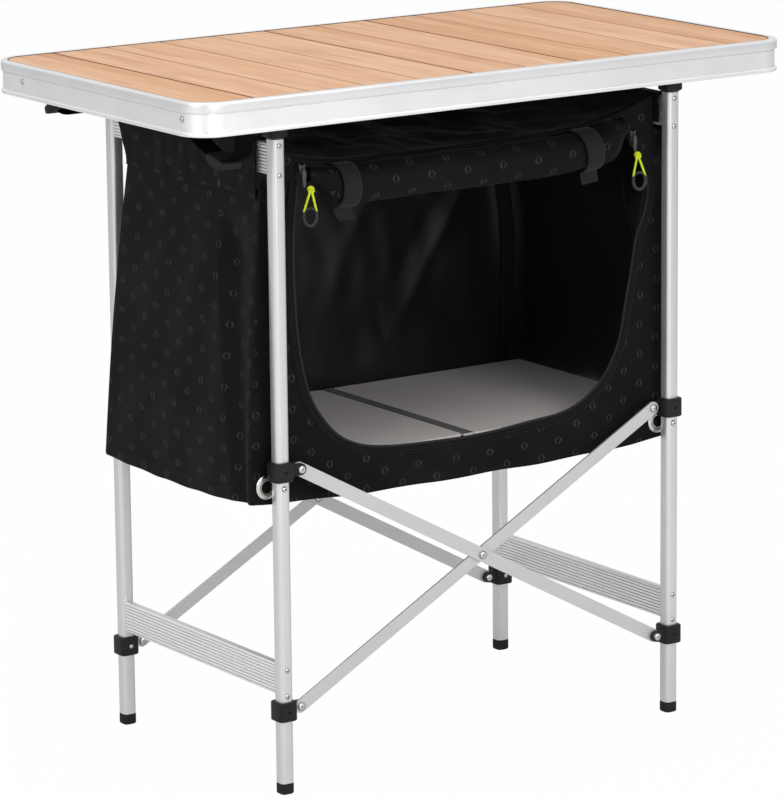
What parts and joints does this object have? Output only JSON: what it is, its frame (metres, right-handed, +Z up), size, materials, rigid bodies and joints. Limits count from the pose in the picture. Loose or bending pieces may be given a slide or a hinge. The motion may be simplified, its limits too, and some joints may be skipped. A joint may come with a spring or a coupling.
{
  "type": "folding camping cupboard",
  "caption": "Folding camp kitchen table with a slatted bamboo top on a scissor-braced aluminium tube frame and a hanging fabric cupboard whose door is rolled up and tied.",
  "frame": {"origin": "on the ground, midway between the four feet, which is the bottom centre of the bounding box", "axes": "+Z up; X along the long side of the top; the open mouth of the cupboard and its rolled door face -Y"},
  "size_m": [0.8598, 0.471, 0.85],
  "materials": {
    "rim_aluminium": "satin anodised",
    "frame_aluminium": "satin anodised",
    "brace_aluminium": "brushed flat bar",
    "bamboo_slats": "lacquered bamboo",
    "black_plastic": "fine moulded",
    "black_fabric": "plain-woven polyester with a small repeated print",
    "webbing": "ribbed webbing",
    "grey_board": "fabric-faced shelf board",
    "nickel": "nickel plated",
    "green_cord": "braided cord, with a metal tab and a dark moulded loop in the visual model"
  },
  "bodies": {
    "left_frame": {"leg_left_front": "frame_aluminium", "foot_left_front": "black_plastic", "head_left_front": "black_plastic", "leg_left_rear": "frame_aluminium", "foot_left_rear": "black_plastic", "head_left_rear": "black_plastic", "plank_upper_left": "frame_aluminium", "plank_lower_left": "frame_aluminium", "collar_lower_left_front": "black_plastic", "collar_lower_left_rear": "black_plastic", "side_panel_left": "black_fabric", "eyelet_left": "nickel", "front_panel": "black_fabric", "back_panel": "black_fabric", "roof_cloth": "black_fabric", "floor_cloth": "black_fabric", "door_roll": "black_fabric", "door_tie_left": "webbing", "door_tie_right": "webbing"},
    "rising_braces": {"brace_front_rising": "brace_aluminium", "brace_rear_rising": "brace_aluminium"},
    "falling_braces": {"brace_front_falling": "brace_aluminium", "brace_rear_falling": "brace_aluminium"},
    "right_frame": {"leg_right_front": "frame_aluminium", "foot_right_front": "black_plastic", "head_right_front": "black_plastic", "leg_right_rear": "frame_aluminium", "foot_right_rear": "black_plastic", "head_right_rear": "black_plastic", "plank_upper_right": "frame_aluminium", "plank_lower_right": "frame_aluminium", "collar_lower_right_front": "black_plastic", "collar_lower_right_rear": "black_plastic", "side_panel_right": "black_fabric", "eyelet_right": "nickel"},
    "left_upper_collars": {"collar_upper_left_front": "black_plastic", "collar_upper_left_rear": "black_plastic"},
    "right_upper_collars": {"collar_upper_right_front": "black_plastic", "collar_upper_right_rear": "black_plastic"},
    "shelf_leaf_left": {"board_left": "grey_board"},
    "shelf_leaf_right": {"board_right": "grey_board"},
    "table_top": {"top_rim": "rim_aluminium", "slat_01": "bamboo_slats", "slat_02": "bamboo_slats", "slat_03": "bamboo_slats", "slat_04": "bamboo_slats", "slat_05": "bamboo_slats", "slat_06": "bamboo_slats", "slat_07": "bamboo_slats", "slat_08": "bamboo_slats", "slat_09": "bamboo_slats", "slat_10": "bamboo_slats", "slat_11": "bamboo_slats", "rail_front": "frame_aluminium", "rail_rear": "frame_aluminium", "carry_strap": "webbing"},
    "slider_left": {"zip_slider_left": "nickel"},
    "slider_right": {"zip_slider_right": "nickel"},
    "puller_left": {"zip_puller_left": "green_cord"},
    "puller_right": {"zip_puller_right": "green_cord"}
  },
  "joints": [
    {"name": "frame_fold", "type": "hinge", "parent": "left_frame", "child": "rising_braces", "pos_m": [-0.2648, 0, 0.1032], "axis": [0, -1, 0], "range_deg": [0, 48], "deforming": ["front_panel", "back_panel", "roof_cloth", "floor_cloth", "door_roll", "door_tie_left", "door_tie_right"]},
    {"name": "brace_cross", "type": "hinge", "parent": "rising_braces", "child": "falling_braces", "pos_m": [0, 0, 0.2493], "axis": [0, -1, 0], "range_deg": [-96, 0]},
    {"name": "right_lower_pivot", "type": "hinge", "parent": "falling_braces", "child": "right_frame", "pos_m": [0.2648, 0, 0.1032], "axis": [0, -1, 0], "range_deg": [0, 48]},
    {"name": "right_upper_pivot", "type": "hinge", "parent": "rising_braces", "child": "right_upper_collars", "pos_m": [0.2648, 0, 0.3954], "axis": [0, -1, 0], "range_deg": [-48, 0]},
    {"name": "left_upper_pivot", "type": "hinge", "parent": "falling_braces", "child": "left_upper_collars", "pos_m": [-0.2648, 0, 0.3954], "axis": [0, -1, 0], "range_deg": [0, 48]},
    {"name": "shelf_left_rise", "type": "hinge", "parent": "left_frame", "child": "shelf_leaf_left", "pos_m": [-0.303, 0, 0.3948], "axis": [0, -1, 0], "range_deg": [0, 81.6]},
    {"name": "shelf_right_rise", "type": "hinge", "parent": "right_frame", "child": "shelf_leaf_right", "pos_m": [0.303, 0, 0.3948], "axis": [0, 1, 0], "range_deg": [0, 60]},
    {"name": "top_lift", "type": "slide", "parent": "left_frame", "child": "table_top", "axis": [0, 0, 1], "range_m": [0, 0.06]},
    {"name": "zip_run_left", "type": "slide", "parent": "left_frame", "child": "slider_left", "axis": [-0.05, -0.009, -0.9987], "range_m": [0, 0.2]},
    {"name": "zip_run_right", "type": "slide", "parent": "left_frame", "child": "slider_right", "axis": [0.42, -0.008, -0.9075], "range_m": [0, 0.06]},
    {"name": "puller_swing_left", "type": "hinge", "parent": "slider_left", "child": "puller_left", "pos_m": [-0.243, -0.1706, 0.7477], "axis": [-1, 0, 0], "range_deg": [0, 80]},
    {"name": "puller_swing_right", "type": "hinge", "parent": "slider_right", "child": "puller_right", "pos_m": [0.243, -0.1706, 0.7388], "axis": [-1, 0, 0], "range_deg": [0, 80]}
  ],
  "couplings": [
    {"joint": "brace_cross", "follows": "frame_fold", "ratio": -2},
    {"joint": "right_lower_pivot", "follows": "frame_fold", "ratio": 1},
    {"joint": "right_upper_pivot", "follows": "frame_fold", "ratio": -1},
    {"joint": "left_upper_pivot", "follows": "frame_fold", "ratio": 1},
    {"joint": "shelf_left_rise", "follows": "frame_fold", "ratio": 1.7},
    {"joint": "shelf_right_rise", "follows": "frame_fold", "ratio": 1.25}
  ]
}
